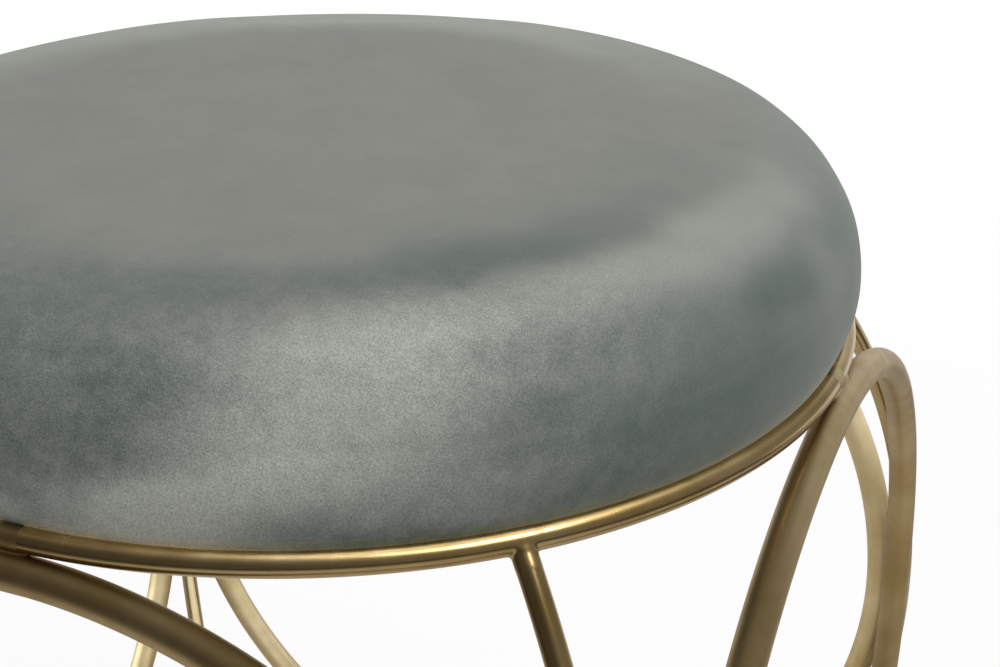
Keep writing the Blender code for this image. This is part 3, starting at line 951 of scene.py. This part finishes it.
FLOOR_SIZE = 8.0
FLOOR_WHITE = "#e4e4e4"
SEEN_WHITE = 0.85
WHITE_GLOW = 1.06
GLOSS_NEAR = 0.7
GLOSS_FAR = 0.05
SHEET_CENTRE = RIGHT * 0.29 - LOOK * 0.34
SHEET_EDGE = (0.72, 1.10)
PLAIN_EDGE = (0.9, 2.4)
BACKDROP_EDGE = (0.2, 0.8)
quarters = ((-1, -1), (1, -1), (1, 1), (-1, 1))
floor_corners = [(FLOOR_SIZE * x, FLOOR_SIZE * y, 0) for x, y in quarters]
floor_mesh = bpy.data.meshes.new("floor")
floor_mesh.from_pydata(floor_corners, [], [(0, 1, 2, 3)])
floor = bpy.data.objects.new("floor", floor_mesh)
bpy.context.scene.collection.objects.link(floor)


def white_floor():
    """Matte white board. Camera and glossy rays see most of it as plain white, with the stool's
    shadow kept in the rest, and far from the stool the camera sees plain white alone. In the
    metal the board ends a metre from its centre and the dark room begins, except behind, where it
    runs on into the white backdrop."""
    made, tree, shader, place = new_material("white_floor")
    shader.inputs["Base Color"].default_value = to_linear(FLOOR_WHITE)
    shader.inputs["Roughness"].default_value = 0.9
    rays = add(tree, "ShaderNodeLightPath")
    camera_ray, glossy_ray = rays.outputs["Is Camera Ray"], rays.outputs["Is Glossy Ray"]
    seen = add(tree, "ShaderNodeMath", links={0: camera_ray, 1: glossy_ray}, operation="MAXIMUM")
    values = {1: tuple(SHEET_CENTRE)}
    away = add(tree, "ShaderNodeVectorMath", values, {0: place}, operation="DISTANCE")
    reach = away.outputs["Value"]
    near, far = PLAIN_EDGE
    values = {"From Min": near, "From Max": far, "To Min": SEEN_WHITE, "To Max": 1.0}
    plain = add(tree, "ShaderNodeMapRange", values, {"Value": reach})
    share = add(tree, "ShaderNodeMath", links={0: seen, 1: plain}, operation="MULTIPLY")
    near, far = SHEET_EDGE
    values = {"From Min": near, "From Max": far, "To Min": GLOSS_NEAR, "To Max": GLOSS_FAR}
    sheet = add(tree, "ShaderNodeMapRange", values, {"Value": reach})
    values = {1: tuple(LOOK)}
    behind = add(tree, "ShaderNodeVectorMath", values, {0: place}, operation="DOT_PRODUCT")
    near, far = BACKDROP_EDGE
    values = {"From Min": near, "From Max": far}
    backdrop = add(tree, "ShaderNodeMapRange", values, {"Value": behind.outputs["Value"]})
    glossy = add(tree, "ShaderNodeMath", links={0: sheet, 1: backdrop}, operation="MAXIMUM")
    links = {"Value": camera_ray, "To Min": glossy}
    strength = add(tree, "ShaderNodeMapRange", {"To Max": WHITE_GLOW}, links)
    white = add(tree, "ShaderNodeEmission", {"Color": (1, 1, 1, 1)}, {"Strength": strength})
    mixed = add(tree, "ShaderNodeMixShader", links={0: share, 1: shader, 2: white})
    feed(tree.nodes["Material Output"], {"Surface": mixed})
    return made


floor_mesh.materials.append(white_floor())

AIM = Vector((0, 0, SEAT_RING_Z))
LAMP_DISTANCE = 2.2


def soft_lamp(name, azimuth, elevation, size, watts, lit=None, colour="#ffffff"):
    """A square lamp that points at the seat. The azimuth is from the camera's side of the stool,
    positive to the right, and both angles are in degrees. A lamp with a list of objects lights
    those alone and shows in them. A lamp without one lights everything and shows in nothing."""
    swing, lift = np.radians(azimuth), np.radians(elevation)
    level = -LOOK * np.cos(swing) + RIGHT * np.sin(swing)
    way = level * np.cos(lift) + Vector((0, 0, np.sin(lift)))
    data = bpy.data.lights.new(name, "AREA")
    data.shape = "SQUARE"
    data.size = size
    data.energy = watts
    data.color = to_linear(colour)[:3]
    made = bpy.data.objects.new(name, data)
    made.location = AIM + way * LAMP_DISTANCE
    made.rotation_euler = (-way).to_track_quat("-Z", "Y").to_euler()
    made.visible_glossy = lit is not None
    bpy.context.scene.collection.objects.link(made)
    if lit is not None:
        receivers = bpy.data.collections.new(f"{name}_receivers")
        for receiver in lit:
            receivers.objects.link(receiver)
        made.light_linking.receiver_collection = receivers
        made.light_linking.blocker_collection = receivers


soft_lamp("key_lamp", 62, 55, 1.0, 17)
soft_lamp("overhead_lamp", 0, 88, 1.6, 12.3)
soft_lamp("fill_lamp", -15, 30, 1.2, 5.5)

# Bright lines along the rings and the rods.
pieces = bpy.data.objects
rings = [pieces[name] for name in ("gold_seat_ring", "gold_base_ring", "corner_rod_welds")]
rods = [pieces[f"gold_{corner}_rod"] for corner in CORNERS]
soft_lamp("edge_lamp", 100, 76, 0.8, 100, rings)
soft_lamp("side_lamp", 52, 61, 0.8, 14, rings)
soft_lamp("rod_lamp", 40, 61, 0.8, 4, rods)

# The photograph's pale haze over the far side of the cage and over the right hoop.
HAZE = "#d4e4ff"
FAR_NAMES = ("gold_back_hoop", "gold_left", "gold_back_left", "left_", "back_seat", "back_base")
far = [each for each in pieces if each.name.startswith(FAR_NAMES) and not each.hide_render]
for direction, azimuth, watts in (("left", -85, 250), ("middle", 10, 130), ("right", 95, 105)):
    soft_lamp(f"haze_lamp_{direction}", azimuth, 0, 4.0, watts, far, HAZE)
right_side = [pieces["gold_right_hoop"], pieces["right_seat_ring_weld"]]
soft_lamp("rim_lamp", 125, 25, 2.0, 9, right_side, HAZE)

ROOM = "#979694"
BACKDROP = "#ffffff"
DARK_CORNER = (LOOK * -0.77 - RIGHT * 0.64).normalized()
DARK_SHARE = 0.35


def studio_world():
    """A dim room with a white backdrop behind the stool and a dark corner on the left of the
    camera. Camera rays see plain white."""
    world = bpy.data.worlds.new("studio")
    world.use_nodes = True
    tree = world.node_tree
    way = add(tree, "ShaderNodeTexCoord").outputs["Generated"]
    values = {1: tuple(LOOK)}
    behind = add(tree, "ShaderNodeVectorMath", values, {0: way}, operation="DOT_PRODUCT")
    links = {"Fac": behind.outputs["Value"]}
    stops = [(0.62, ROOM), (0.9, BACKDROP)]
    lit = add(tree, "ShaderNodeValToRGB", links=links, stops=stops)
    values = {1: tuple(DARK_CORNER)}
    corner = add(tree, "ShaderNodeVectorMath", values, {0: way}, operation="DOT_PRODUCT")
    values = {"From Min": 0.3, "From Max": 0.8, "To Min": 1.0, "To Max": DARK_SHARE}
    share = add(tree, "ShaderNodeMapRange", values, {"Value": corner.outputs["Value"]})
    room = add(tree, "ShaderNodeVectorMath", links={0: lit, "Scale": share}, operation="SCALE")
    rays = add(tree, "ShaderNodeLightPath")
    values = {7: to_linear(BACKDROP)}
    links = {0: rays.outputs["Is Camera Ray"], 6: room}
    colour = add(tree, "ShaderNodeMix", values, links, data_type="RGBA")
    background = tree.nodes["Background"]
    feed(background, {"Color": colour.outputs[2]})
    background.inputs["Strength"].default_value = 1.0
    return world


bpy.context.scene.world = studio_world()
bpy.context.scene.view_settings.view_transform = "Standard"
